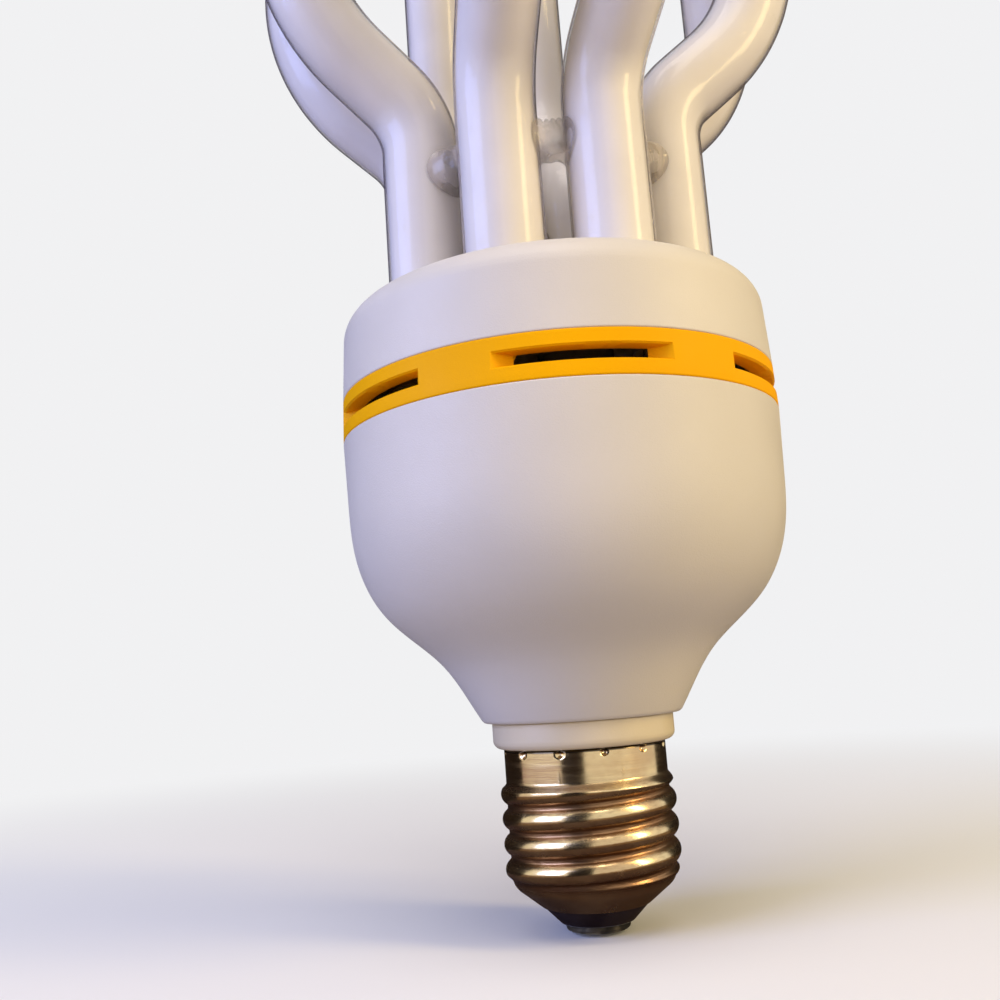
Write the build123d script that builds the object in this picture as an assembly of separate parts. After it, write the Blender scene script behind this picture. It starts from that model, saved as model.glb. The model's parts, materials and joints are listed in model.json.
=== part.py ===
from build123d import *
import os
from math import acos, cos, radians, sin, tan

# Tulip energy saving lamp: a screw cap, a bell-shaped ballast housing with a slotted
# vent ring, and four petals of bent discharge tube.
# Millimetres, +Z up, origin at the tip of the centre contact, one petal toward -Y.
# Azimuths are in degrees from -Y toward +X.

# Screw cap
THREAD_ROOT_R = 12.15
THREAD_CREST_R = 13.05
THREAD_PITCH = 3.62
THREAD_LOW_Z = 7.7
THREAD_TOP_Z = 22.4
THREAD_RIDGE_W = 3.0
THREAD_FADE = 1.2
SHEET = 0.3
CAP_LIP_R = 8.2
CAP_LIP_Z = 4.2
CAP_TAPER_Z = 7.36
CAP_TAPER_ROUND = 2.4
CAP_RIM_Z = 27.0
DENT_COUNT = 12
DENT_PHASE = 6.0
DENT_R = 0.75
DENT_DEPTH = 0.5
DENT_BELOW_RIM = 0.85

# Glass button and centre contact
BUTTON_FOOT_R = 5.4
BUTTON_FOOT_Z = 1.6
BUTTON_WAIST_R = 7.5
BUTTON_WAIST_Z = 3.7
BUTTON_TOP_Z = 10.6
BUTTON_WALL = 2.6
CONTACT_R = 4.75
CONTACT_THICK = 1.1
EYELET_R = 1.5
EYELET_RISE = 4.2
SOLDER_R = 2.7
SOLDER_FLAT_R = 1.5

# Neck bush between cap and housing
SLIP = 0.1
BUSH_BORE_R = 9.6
BUSH_FOOT_Z = 15.0
COLLAR_R = 13.7
COLLAR_ROUND = 1.1
TOWER_R = 12.4
HOOK_COUNT = 4
HOOK_ARC = 48.0
HOOK_BARB = 0.9
HOOK_H = 2.6

# Bell-shaped lower housing: its foot, its widest radius, and points of the flare
# between them as shares of the way out and up
HOUSING_R = 33.95
HOUSING_WALL = 1.8
BELL_FOOT_R = 14.93
BELL_FOOT_Z = 30.94
BELL_DRAFT = 0.35
BELL_WAIST_Z = 64.0
BELL_RIM_Z = 74.65
BELL_FLARE = ((0.308, 0.274), (0.538, 0.395), (0.752, 0.516), (0.952, 0.758))
BELL_FLOOR = 2.0
RIB_COUNT = 4
RIB_PHASE = 22.5
RIB_THICK = 1.6
RIB_DROP = 12.0

# Vent ring
RING_DRAFT = 0.21
RING_TOP_Z = 81.05
RING_WALL = 2.6
TONGUE_WALL = 1.3
TONGUE_REACH = 2.4
SLOT_COUNT = 6
SLOT_PHASE = 0.0
SLOT_ARC = 33.0
SLOT_FLARE = 4.4
SLOT_H = 1.95
SLOT_Z = 77.9

# Top cover that holds the tubes
COVER_TOP_Z = 95.0
COVER_DRAFT = 0.74
COVER_ROUND = 4.6
SOCKET_WALL = 0.8
SOCKET_DEPTH = 10.0
HOLE_GAP = 0.25
CEMENT_GAP = 0.8

# Discharge tube: eight legs on one circle, joined in pairs as petals
PETAL_COUNT = 4
TUBE_R = 6.1
LEG_CIRCLE_R = 20.8
LEG_FOOT_Z = 84.0
LEG_FOOT_ROUND = 2.0
BEND_Z = 119.4
LOW_BEND_R = 12.6
TOP_BEND_R = 28.5
LEAN = 49.0
LEAN_RUN = 7.2
LEAN_TURN = 13.0
LEAN_SPLAY = 6.6
PETAL_TIP_Z = 198.0
BRIDGE_R = 3.5
BRIDGE_Z = 114.0
SPACER_R = 3.2
SPACER_Z = 114.6

# Ballast board and what it carries; the places are drawn on a board of one radius and
# move with the radius that the housing leaves for it
BOARD_DRAWN_R = 30.0
BOARD_GAP = 2.15
BOARD_THICK = 1.6
BOARD_Z = 69.0
PIN_SIDE = 0.9
PIN_UP = 5.0
PIN_DOWN = 2.5
PIN_OUT = 4.2
PIN_SPREAD = 2.6
OPEN_GAP_PHASE = 225.0
ELECTRODE_SPREAD = 1.6
TUBE_LEAD_R = 0.35
CAN_R = 8.0
CAN_H = 25.0
CAN_AT = (-9.5, -4.0)
CAN_BEAD = 1.0
CAN_BEAD_DEPTH = 0.4
CHOKE_AT = (13.0, -1.0)
CHOKE_W = 25.0
CHOKE_H = 20.0
CHOKE_D = 7.2
CHOKE_LIMB = 6.5
CHOKE_YOKE = 3.3
BOBBIN_WALL = 0.8
WINDING_OUT = 2.9
TOROID_R = 5.6
TOROID_BORE_R = 3.0
TOROID_H = 4.6
TOROID_AT = (-6.0, 15.5)
TURNS_COUNT = 3
TURNS_ARC = 52.0
TURNS_THICK = 0.7
TRANSISTOR_SIZE = (10.0, 4.4, 9.2)
TRANSISTOR_TAB_H = 6.0
TRANSISTOR_TAB_THICK = 1.3
TRANSISTOR_LEG = 4.0
TRANSISTOR_PHASE = 90.0
TRANSISTOR_AT = ((-21.4, 4.0), (-21.4, -8.0))
FILM_SIZES = ((13.0, 6.0, 11.0), (12.0, 5.0, 10.0), (9.0, 5.0, 9.0))
FILM_AT = ((-4.6, -19.2), (-4.6, -25.6), (6.4, 20.5))
FILM_ROUND = 1.0
FILTER_R = 4.5
FILTER_H = 12.0
FILTER_NECK_R = 2.6
FILTER_FLANGE = 1.4
FILTER_AT = (8.3, -20.5)
FUSE_R = 2.0
FUSE_LENGTH = 9.0
FUSE_PHASE = 40.0
FUSE_AT = (19.5, -18.5)
DIODE_R = 1.35
DIODE_LENGTH = 5.0
DIODE_LEAD_R = 0.4
DIODE_STAND = 1.2
DIODE_AT = ((-18.5, 14.5), (-18.5, 18.5), (17.5, 15.5), (17.5, 19.5))
LEAD_SPAN = 4.0
LEAD_BEND_R = 1.5

# Leads down to the cap
CAP_LEAD_R = 0.45
CONTACT_LEAD_AT = (2.8, -7.0)
SHELL_LEAD_AT = (2.8, 8.0)
CAP_LEAD_STRAIGHT_Z = 36.0
SHELL_LEAD_CLIMB = 5.0
GROOVE_W = 1.3

# Values that follow from the sizes above
FAR = 2 * HOUSING_R
BELL_WAIST_R = HOUSING_R - BELL_DRAFT
RING_TOP_R = HOUSING_R - RING_DRAFT
COVER_SHOULDER_R = RING_TOP_R - COVER_DRAFT
BOARD_R = HOUSING_R - HOUSING_WALL - BOARD_GAP
SHELL_BORE_R = THREAD_ROOT_R - SHEET
SPIGOT_R = SHELL_BORE_R - SLIP
SHELL_LEAD_R = SHELL_BORE_R - CAP_LEAD_R
RING_TONGUE_R = HOUSING_R - HOUSING_WALL - SLIP
LEG_STEP = 180.0 / PETAL_COUNT
SOCKET_BORE_R = TUBE_R + CEMENT_GAP
PLATE_Z = COVER_TOP_Z - HOUSING_WALL
LEG_SPACING = 2 * LEG_CIRCLE_R * sin(radians(LEG_STEP / 2))


def outward(azimuth):
    """Unit vector at an azimuth counted from -Y toward +X."""
    return Vector(sin(radians(azimuth)), -cos(radians(azimuth)), 0)


def at_azimuth(azimuth):
    """Turn about Z that brings -Y to the azimuth."""
    return Rot(0, 0, azimuth)


def turned(*points):
    """Solid of revolution with straight sides through (radius, height) points."""
    return revolve(Plane.XZ * make_face(Polyline(*points, close=True)), Axis.Z)


def ring(outer, inner, low, high):
    """Plain ring between two radii and two heights."""
    return turned((inner, low), (outer, low), (outer, high), (inner, high))


def rod(radius, low, high):
    """Upright cylinder between two heights."""
    return Pos(0, 0, (low + high) / 2) * Cylinder(radius, high - low)


def wire_along(radius, *edges):
    """Round wire of one radius along edges that join smoothly."""
    path = Wire(edges)
    end = Plane(origin=path @ 0, z_dir=path % 0)
    return sweep(end * Circle(radius), path=path)


# Cap

def curled_sleeve(inset):
    """Body filled by the cap's sleeve and its rolled-in foot, moved in by an inset."""
    knee = Vector(THREAD_ROOT_R, CAP_TAPER_Z)
    lip = Vector(CAP_LIP_R, CAP_LIP_Z)
    taper = (lip - knee).normalized()
    reach = CAP_TAPER_ROUND * tan(acos(-taper.Y) / 2)
    side = Vector(taper.Y, -taper.X) * inset
    foot = lip + side
    low = knee + taper * reach + side
    bend = knee + Vector(-inset, reach)
    rim = Vector(THREAD_ROOT_R - inset, CAP_RIM_Z)
    outline = [
        TangentArc(bend, low, tangent=(0, -1)),
        Polyline(low, foot, (0, foot.Y), (0, CAP_RIM_Z), rim, bend),
    ]
    return revolve(Plane.XZ * make_face(outline), Axis.Z), foot


def thread_ridge():
    """Round-crested right-hand ridge that fades out at both ends."""
    root = THREAD_ROOT_R - SHEET / 2
    half = THREAD_RIDGE_W / 2
    crest = ThreePointArc((root, -half), (THREAD_CREST_R, 0), (root, half))
    section = make_face([crest, Line((root, half), (root, -half))])
    helix = Helix(THREAD_PITCH, THREAD_TOP_Z - THREAD_LOW_Z, THREAD_ROOT_R)
    blank = Pos(0, 0, THREAD_LOW_Z) * sweep(Plane.XZ * section, path=helix, is_frenet=True)
    clear_r = THREAD_CREST_R + SHEET / 2
    envelope = turned(
        (0, CAP_TAPER_Z),
        (THREAD_ROOT_R - SHEET, CAP_TAPER_Z),
        (clear_r, THREAD_LOW_Z + THREAD_FADE),
        (clear_r, THREAD_TOP_Z - THREAD_FADE),
        (THREAD_ROOT_R, THREAD_TOP_Z),
        (0, THREAD_TOP_Z),
    )
    return blank & envelope


def dents(inset):
    """Cones pressed in round the rim, moved in by an inset."""
    cone = Cone(DENT_R, DENT_R / 4, DENT_DEPTH, align=(Align.CENTER, Align.CENTER, Align.MIN))
    lift = Pos(0, -(THREAD_ROOT_R - inset), CAP_RIM_Z - DENT_BELOW_RIM)
    step = 360 / DENT_COUNT
    return [at_azimuth(DENT_PHASE + i * step) * lift * Rot(-90, 0, 0) * cone for i in range(DENT_COUNT)]


def screw_shell():
    """Thin sleeve with its rolled-in foot, raised thread and dented rim."""
    outer, lip = curled_sleeve(0)
    inner, foot = curled_sleeve(SHEET)
    mouth = turned((0, lip.Y), (lip.X, lip.Y), (foot.X, foot.Y), (0, foot.Y))
    keep = ring(THREAD_ROOT_R, SHELL_BORE_R - DENT_DEPTH, CAP_LIP_Z, CAP_RIM_Z)
    bumps = [bump & keep for bump in dents(SHEET)]
    return outer - inner - mouth + thread_ridge() + bumps - dents(0)


def glass_button():
    """Black glass that carries the contact and fills the rolled foot of the sleeve."""
    cavity, foot = curled_sleeve(SHEET)
    lip = curled_sleeve(0)[1]
    cone = turned(
        (0, BUTTON_FOOT_Z),
        (BUTTON_FOOT_R, BUTTON_FOOT_Z),
        (BUTTON_WAIST_R, BUTTON_WAIST_Z),
        (lip.X, lip.Y),
        (foot.X, foot.Y),
        (0, foot.Y),
    )
    plug = cavity & rod(THREAD_ROOT_R, foot.Y, BUTTON_TOP_Z)
    hollow = turned(
        (EYELET_R, BUTTON_FOOT_Z + BUTTON_WALL),
        (SHELL_BORE_R - BUTTON_WALL, CAP_TAPER_Z),
        (SHELL_BORE_R - BUTTON_WALL, BUTTON_TOP_Z),
        (0, BUTTON_TOP_Z),
        (0, BUTTON_FOOT_Z + BUTTON_WALL),
    )
    return cone + plug - hollow - rod(EYELET_R, BUTTON_FOOT_Z, BUTTON_TOP_Z)


def centre_contact():
    """Disc under the glass with an eyelet that the lead comes down through."""
    low = BUTTON_FOOT_Z - CONTACT_THICK
    disc = rod(CONTACT_R, low, BUTTON_FOOT_Z)
    disc = fillet(disc.edges().group_by(Axis.Z)[0], CONTACT_THICK / 2)
    eyelet = rod(EYELET_R, BUTTON_FOOT_Z, BUTTON_FOOT_Z + EYELET_RISE)
    return disc + eyelet - rod(CAP_LEAD_R + SLIP, low, BUTTON_FOOT_Z + EYELET_RISE)


def contact_solder():
    """Drop of solder over the eyelet, flat where it rests at the origin."""
    high = BUTTON_FOOT_Z - CONTACT_THICK
    side = TangentArc((SOLDER_FLAT_R, 0), (SOLDER_R, high), tangent=(1, 0))
    rest = Polyline((SOLDER_R, high), (0, high), (0, 0), (SOLDER_FLAT_R, 0))
    return revolve(Plane.XZ * make_face([side, rest]), Axis.Z)


# Housing

def neck_bush():
    """Collar between cap and bell, with a spigot in the cap and snap hooks in the bell."""
    floor_z = BELL_FOOT_Z + BELL_FLOOR
    spigot = ring(SPIGOT_R, BUSH_BORE_R, BUSH_FOOT_Z, CAP_RIM_Z)
    collar = rod(COLLAR_R, CAP_RIM_Z, BELL_FOOT_Z)
    collar = fillet(collar.edges().group_by(Axis.Z)[0], COLLAR_ROUND)
    collar -= rod(BUSH_BORE_R, CAP_RIM_Z, BELL_FOOT_Z)
    tower = ring(TOWER_R, BUSH_BORE_R, BELL_FOOT_Z, floor_z)
    barb = turned(
        (BUSH_BORE_R, floor_z),
        (TOWER_R, floor_z),
        (TOWER_R, floor_z + SLIP),
        (TOWER_R + HOOK_BARB, floor_z + SLIP),
        (TOWER_R - HOOK_BARB, floor_z + HOOK_H),
        (BUSH_BORE_R, floor_z + HOOK_H),
    )
    hooks = barb & wedges(HOOK_COUNT, 0, HOOK_ARC, floor_z, floor_z + HOOK_H)
    groove = Pos(0, SHELL_LEAD_R, (BUSH_FOOT_Z + CAP_RIM_Z) / 2)
    groove *= Box(GROOVE_W, 2 * (SHELL_BORE_R - SHELL_LEAD_R) + SLIP, CAP_RIM_Z - BUSH_FOOT_Z)
    return spigot + collar + tower + hooks - dents(SHEET) - groove


def wedges(count, phase, arc, low, high):
    """Equal sectors about Z, each an arc wide."""
    half = arc / 2
    a, b = outward(-half) * FAR, outward(half) * FAR
    sector = make_face(Polyline((0, 0), (a.X, a.Y), (b.X, b.Y), close=True))
    blade = Pos(0, 0, low) * extrude(sector, high - low)
    return [at_azimuth(phase + i * 360 / count) * blade for i in range(count)]


def bell_points():
    """Outline of the bell from its foot up to its widest radius."""
    spread = BELL_WAIST_R - BELL_FOOT_R
    rise = BELL_WAIST_Z - BELL_FOOT_Z
    middle = [(BELL_FOOT_R + a * spread, BELL_FOOT_Z + b * rise) for a, b in BELL_FLARE]
    return [Vector(*p) for p in ((BELL_FOOT_R, BELL_FOOT_Z), *middle, (BELL_WAIST_R, BELL_WAIST_Z))]


def moved_in(points, inset):
    """Points of an outline that rises outward, moved inward square to it."""
    ends = list(zip([points[0], *points[:-1]], [*points[1:], points[-1]]))
    sides = [(high - low).normalized() for low, high in ends]
    return [p + Vector(-side.Y, side.X) * inset for p, side in zip(points, sides)]


def bell_body(inset):
    """Body filled by the bell's outline moved in by an inset."""
    points = moved_in(bell_points(), inset)
    rim = Vector(HOUSING_R - inset, BELL_RIM_Z)
    top = rim - points[-1]
    flare = Spline(*points, tangents=(points[1] - points[0], top))
    sides = Polyline(points[-1], rim, (0, BELL_RIM_Z), (0, points[0].Y), points[0])
    return revolve(Plane.XZ * make_face([flare, sides]), Axis.Z)


def bell_cavity():
    """Hollow of the bell above its floor."""
    return bell_body(HOUSING_WALL) - rod(FAR, 0, BELL_FOOT_Z + BELL_FLOOR)


def lower_housing():
    """Bell with a floor round the neck bush and ribs that the board rests on."""
    cavity = bell_cavity()
    hole = rod(TOWER_R + SLIP, BELL_FOOT_Z, BELL_FOOT_Z + BELL_FLOOR)
    rib_in = BOARD_R - 2 * RIB_THICK
    rib_out = HOUSING_R - HOUSING_WALL
    blade = Pos(0, -(rib_in + rib_out) / 2, BOARD_Z - RIB_DROP / 2)
    blade *= Box(RIB_THICK, rib_out - rib_in, RIB_DROP)
    turn = 360 / RIB_COUNT
    ribs = [at_azimuth(RIB_PHASE + i * turn) * blade & cavity for i in range(RIB_COUNT)]
    return bell_body(0) - cavity - hole + ribs


def vent_slots():
    """Slots through the ring, their ends flared from the wall's inner face to its outer one."""
    half = SLOT_ARC / 2
    end = half + SLOT_FLARE
    inner_r = HOUSING_R - RING_WALL
    rays = (
        (inner_r, -half), (HOUSING_R, -end), (FAR, -end),
        (FAR, end), (HOUSING_R, end), (inner_r, half),
    )
    plan = [outward(azimuth) * radius for radius, azimuth in rays]
    outline = Polyline((0, 0), *[(p.X, p.Y) for p in plan], close=True)
    blade = Pos(0, 0, SLOT_Z - SLOT_H / 2) * extrude(make_face(outline), SLOT_H)
    step = 360 / SLOT_COUNT
    return [at_azimuth(SLOT_PHASE + i * step) * blade for i in range(SLOT_COUNT)]


def vent_ring():
    """Slotted ring with a tongue down into the bell and one up into the cover."""
    wall = turned(
        (HOUSING_R - RING_WALL, BELL_RIM_Z),
        (HOUSING_R, BELL_RIM_Z),
        (RING_TOP_R, RING_TOP_Z),
        (RING_TOP_R - RING_WALL, RING_TOP_Z),
    )
    low_z = BELL_RIM_Z - TONGUE_REACH
    high_z = RING_TOP_Z + TONGUE_REACH
    taper = (RING_TOP_R - COVER_SHOULDER_R) / (COVER_TOP_Z - COVER_ROUND - RING_TOP_Z)
    top_r = RING_TOP_R - HOUSING_WALL - SLIP - taper * TONGUE_REACH
    tongue = ring(RING_TONGUE_R, RING_TONGUE_R - TONGUE_WALL, low_z, BELL_RIM_Z + HOUSING_WALL / 2)
    tongue += ring(top_r, top_r - TONGUE_WALL, RING_TOP_Z - HOUSING_WALL / 2, high_z)
    return wall + tongue - vent_slots()


def cover_body(inset):
    """Body filled by the cover's outline moved in by an inset."""
    top = COVER_TOP_Z - inset
    foot = (RING_TOP_R - inset, RING_TOP_Z)
    shoulder = (COVER_SHOULDER_R - inset, COVER_TOP_Z - COVER_ROUND)
    flat = (COVER_SHOULDER_R - COVER_ROUND, top)
    bend = (COVER_ROUND - inset) * (1 - cos(radians(45)))
    middle = (shoulder[0] - bend, top - bend)
    outline = [
        Polyline(flat, (0, top), (0, RING_TOP_Z), foot, shoulder),
        ThreePointArc(shoulder, middle, flat),
    ]
    return revolve(Plane.XZ * make_face(outline), Axis.Z)


def leg_azimuths():
    """Azimuths of all legs, two for each petal."""
    return [LEG_STEP * (i - 0.5) for i in range(2 * PETAL_COUNT)]


def at_legs(shape):
    """Copies of an upright shape, one at each leg."""
    places = [outward(azimuth) * LEG_CIRCLE_R for azimuth in leg_azimuths()]
    return [Pos(place.X, place.Y, 0) * shape for place in places]


def tube_holder():
    """Top cover with a deep socket under each leg's hole."""
    low = COVER_TOP_Z - SOCKET_DEPTH
    sockets = at_legs(rod(SOCKET_BORE_R + SOCKET_WALL, low, PLATE_Z))
    cover = cover_body(0) - cover_body(HOUSING_WALL) + sockets
    cover -= at_legs(rod(SOCKET_BORE_R, low, PLATE_Z))
    return cover - at_legs(rod(TUBE_R + HOLE_GAP, PLATE_Z, COVER_TOP_Z))


def tube_cement():
    """Rings of cement between legs and sockets."""
    low = COVER_TOP_Z - SOCKET_DEPTH + SOCKET_WALL
    return Compound(children=at_legs(ring(SOCKET_BORE_R, TUBE_R, low, PLATE_Z)))


# Discharge tube

def leg_edges(petal, side):
    """Centre line of one leg, from its foot to where the petal's top bend starts."""
    foot = outward(petal + side * LEG_STEP / 2) * LEG_CIRCLE_R
    lean = outward(petal + LEAN_TURN + side * LEAN_SPLAY)
    up = Vector(0, 0, 1)
    tilt = radians(LEAN)
    slope = lean * sin(tilt) + up * cos(tilt)
    low = foot + up * LEG_FOOT_Z
    bend = foot + up * BEND_Z
    out = bend + lean * LOW_BEND_R * (1 - cos(tilt)) + up * LOW_BEND_R * sin(tilt)
    back = out + slope * LEAN_RUN
    top = back + lean * TOP_BEND_R * (1 - cos(tilt)) + up * TOP_BEND_R * sin(tilt)
    half = tilt / 2
    low_mid = bend + lean * LOW_BEND_R * (1 - cos(half)) + up * LOW_BEND_R * sin(half)
    top_mid = top - lean * TOP_BEND_R * (1 - cos(half)) - up * TOP_BEND_R * sin(half)
    edges = [
        Edge.make_line(low, bend),
        Edge.make_three_point_arc(bend, low_mid, out),
        Edge.make_line(out, back),
        Edge.make_three_point_arc(back, top_mid, top),
    ]
    return edges, top


def petal_tube(petal):
    """Sealed tube up one leg, round the petal's tip and down the other leg."""
    rising, first = leg_edges(petal, -1)
    falling, second = leg_edges(petal, 1)
    tip_r = (second - first).length / 2
    shoulder_z = PETAL_TIP_Z - TUBE_R - tip_r
    start = Vector(first.X, first.Y, shoulder_z)
    finish = Vector(second.X, second.Y, shoulder_z)
    tip = (start + finish) / 2 + Vector(0, 0, tip_r)
    edges = [
        *rising,
        Edge.make_line(first, start),
        Edge.make_three_point_arc(start, tip, finish),
        Edge.make_line(finish, second),
        *reversed(falling),
    ]
    tube = wire_along(TUBE_R, *edges)
    return fillet(tube.edges().group_by(Axis.Z)[0], LEG_FOOT_ROUND)


def links(azimuths, radius, height):
    """Short glass rods between neighbouring legs, cut to the legs' round sides."""
    middle_r = LEG_CIRCLE_R * cos(radians(LEG_STEP / 2))
    blank = Pos(0, -middle_r, height) * Rot(0, 90, 0) * Cylinder(radius, LEG_SPACING)
    legs = at_legs(rod(TUBE_R, height - 2 * radius, height + 2 * radius))
    return Compound(children=[at_azimuth(azimuth) * blank - legs for azimuth in azimuths])


def glass_bridges():
    """Links that carry the discharge from petal to petal, all but the last pair."""
    step = 360 / PETAL_COUNT
    joined = [OPEN_GAP_PHASE + step * i for i in range(1, PETAL_COUNT)]
    return links(joined, BRIDGE_R, BRIDGE_Z)


def leg_spacers():
    """Clear beads between the two legs of each petal."""
    return links([2 * LEG_STEP * i for i in range(PETAL_COUNT)], SPACER_R, SPACER_Z)


# Ballast

def pin_places():
    """Foot and board places of the electrode leads."""
    places = []
    for azimuth in (OPEN_GAP_PHASE - LEG_STEP / 2, OPEN_GAP_PHASE + LEG_STEP / 2):
        leg = outward(azimuth) * LEG_CIRCLE_R
        along = outward(azimuth + 90)
        for side in (-1, 1):
            upper = leg + along * side * ELECTRODE_SPREAD
            lower = outward(azimuth) * (LEG_CIRCLE_R + PIN_OUT) + along * side * PIN_SPREAD
            places.append((upper, lower))
    return places


def board_pins(side):
    """Square pins through the board, of the side given."""
    height = BOARD_THICK + PIN_UP + PIN_DOWN
    middle = BOARD_Z - PIN_DOWN + height / 2
    return [Pos(low.X, low.Y, middle) * Box(side, side, height) for _, low in pin_places()]


def ballast_board():
    return rod(BOARD_R, BOARD_Z, BOARD_Z + BOARD_THICK) - board_pins(PIN_SIDE)


def wrap_pins():
    return Compound(children=board_pins(PIN_SIDE))


def tube_leads():
    """Leads from the two open tube ends down to the board pins."""
    pin_top = BOARD_Z + BOARD_THICK + PIN_UP
    leads = []
    for upper, lower in pin_places():
        start = Vector(upper.X, upper.Y, LEG_FOOT_Z)
        finish = Vector(lower.X, lower.Y, pin_top)
        down = Vector(0, 0, -1)
        leads.append(wire_along(TUBE_LEAD_R, Edge.make_spline([start, finish], [down, down])))
    return Compound(children=leads)


def on_board(places):
    """Placing of each (x, y) that was drawn on the board."""
    scale = BOARD_R / BOARD_DRAWN_R
    return [Pos(x * scale, y * scale, 0) for x, y in places]


def hung(width, depth, height, stand=0.0):
    """Block under the board, its top face a stand below the board."""
    return Pos(0, 0, BOARD_Z - stand - height / 2) * Box(width, depth, height)


def choke_core():
    """Two-window ferrite core, its long side along Y."""
    (place,) = on_board([CHOKE_AT])
    window_w = (CHOKE_W - CHOKE_LIMB) / 2 - CHOKE_YOKE
    window_h = CHOKE_H - 2 * CHOKE_YOKE
    core = hung(CHOKE_D, CHOKE_W, CHOKE_H)
    shift = (CHOKE_LIMB + window_w) / 2
    window = Pos(0, 0, -CHOKE_YOKE) * hung(CHOKE_D, window_w, window_h)
    return place * (core - [Pos(0, side * shift, 0) * window for side in (-1, 1)])


def choke_bobbin():
    """Spool round the core's middle limb."""
    (place,) = on_board([CHOKE_AT])
    inner = (CHOKE_D, CHOKE_LIMB)
    height = CHOKE_H - 2 * CHOKE_YOKE
    grown = [size + 2 * BOBBIN_WALL for size in inner]
    wide = [size + 2 * (BOBBIN_WALL + WINDING_OUT) for size in inner]
    sleeve = hung(*grown, height, CHOKE_YOKE)
    sleeve += hung(*wide, BOBBIN_WALL, CHOKE_YOKE)
    sleeve += hung(*wide, BOBBIN_WALL, CHOKE_YOKE + height - BOBBIN_WALL)
    return place * (sleeve - hung(*inner, height, CHOKE_YOKE))


def choke_winding():
    """Wound copper between the spool's flanges."""
    (place,) = on_board([CHOKE_AT])
    height = CHOKE_H - 2 * CHOKE_YOKE - 2 * BOBBIN_WALL
    inner = [size + 2 * BOBBIN_WALL for size in (CHOKE_D, CHOKE_LIMB)]
    outer = [size + 2 * (WINDING_OUT - SLIP) for size in inner]
    blank = hung(*outer, height, CHOKE_YOKE + BOBBIN_WALL)
    blank = fillet(blank.edges().filter_by(Axis.Z), WINDING_OUT / 2)
    return place * (blank - hung(*inner, height, CHOKE_YOKE + BOBBIN_WALL))


def bulk_capacitor():
    """Can with a crimped bead near the board."""
    (place,) = on_board([CAN_AT])
    can = rod(CAN_R, BOARD_Z - CAN_H, BOARD_Z)
    can = fillet(can.edges().group_by(Axis.Z)[0], CAN_R / 8)
    bead_z = BOARD_Z - CAN_R / 2
    bead = ring(CAN_R, CAN_R - CAN_BEAD_DEPTH, bead_z, bead_z + CAN_BEAD)
    return place * (can - bead)


def driver_toroid():
    (place,) = on_board([TOROID_AT])
    return place * ring(TOROID_R, TOROID_BORE_R, *toroid_span())


def toroid_span():
    """Heights of the ring core, which its windings hold off the board."""
    top = BOARD_Z - TURNS_THICK
    return top - TOROID_H, top


def toroid_windings():
    """Wound bands round the ring core."""
    (place,) = on_board([TOROID_AT])
    low, high = toroid_span()
    band = ring(TOROID_R + TURNS_THICK, TOROID_BORE_R - TURNS_THICK, low - TURNS_THICK, BOARD_Z)
    band -= ring(TOROID_R, TOROID_BORE_R, low, high)
    cuts = wedges(TURNS_COUNT, 0, TURNS_ARC, low - TURNS_THICK, BOARD_Z)
    return Compound(children=[place * (band & cut) for cut in cuts])


def power_transistor():
    """Moulded body with a drilled tab below it and three legs up to the board."""
    width, depth, height = TRANSISTOR_SIZE
    body = hung(width, depth, height, TRANSISTOR_LEG)
    low = TRANSISTOR_LEG + height
    tab = hung(width, TRANSISTOR_TAB_THICK, TRANSISTOR_TAB_H, low)
    tab = Pos(0, (TRANSISTOR_TAB_THICK - depth) / 2, 0) * tab
    eye = Pos(0, 0, BOARD_Z - low - TRANSISTOR_TAB_H / 2)
    eye *= Rot(90, 0, 0) * Cylinder(TRANSISTOR_TAB_H / 4, 2 * depth)
    leg = hung(DIODE_R, DIODE_LEAD_R * 2, TRANSISTOR_LEG)
    legs = [Pos(step * width / 4, 0, 0) * leg for step in (-1, 0, 1)]
    return body + legs + (tab - eye)


def power_transistors():
    shape = power_transistor()
    turn = Rot(0, 0, TRANSISTOR_PHASE)
    return Compound(children=[place * turn * shape for place in on_board(TRANSISTOR_AT)])


def film_capacitors():
    """Dipped capacitors with rounded edges, standing on the board."""
    parts = []
    for place, size in zip(on_board(FILM_AT), FILM_SIZES):
        block = hung(*size)
        block = fillet(block.edges().filter_by(Axis.Z) + block.edges().group_by(Axis.Z)[0], FILM_ROUND)
        parts.append(place * block)
    return Compound(children=parts)


def filter_coil():
    """Drum coil: two flanges and the winding between them."""
    (place,) = on_board([FILTER_AT])
    low = BOARD_Z - FILTER_H
    drum = rod(FILTER_R, low, low + FILTER_FLANGE) + rod(FILTER_R, BOARD_Z - FILTER_FLANGE, BOARD_Z)
    waist_r = (FILTER_R + FILTER_NECK_R) / 2
    return place * (drum + rod(waist_r, low, BOARD_Z))


def lying_part(radius, length):
    """Cylinder along X under the board on two legs that bend up into it."""
    axis_z = BOARD_Z - DIODE_STAND - radius
    body = Pos(0, 0, axis_z) * Rot(0, 90, 0) * Cylinder(radius, length)
    reach = length / 2 + LEAD_SPAN / 2
    bend = LEAD_BEND_R
    half = []
    for side in (-1, 1):
        start = Vector(side * length / 2, 0, axis_z)
        knee = Vector(side * (reach - bend), 0, axis_z)
        turn = Vector(side * reach, 0, axis_z + bend)
        middle = turn + Vector(-side * bend * (1 - cos(radians(45))), 0, -bend * sin(radians(45)))
        top = Vector(turn.X, 0, BOARD_Z)
        half.append(
            wire_along(
                DIODE_LEAD_R,
                Edge.make_line(start, knee),
                Edge.make_three_point_arc(knee, middle, turn),
                Edge.make_line(turn, top),
            )
        )
    return body + half


def rectifier_diodes():
    shape = lying_part(DIODE_R, DIODE_LENGTH)
    return Compound(children=[place * shape for place in on_board(DIODE_AT)])


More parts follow.
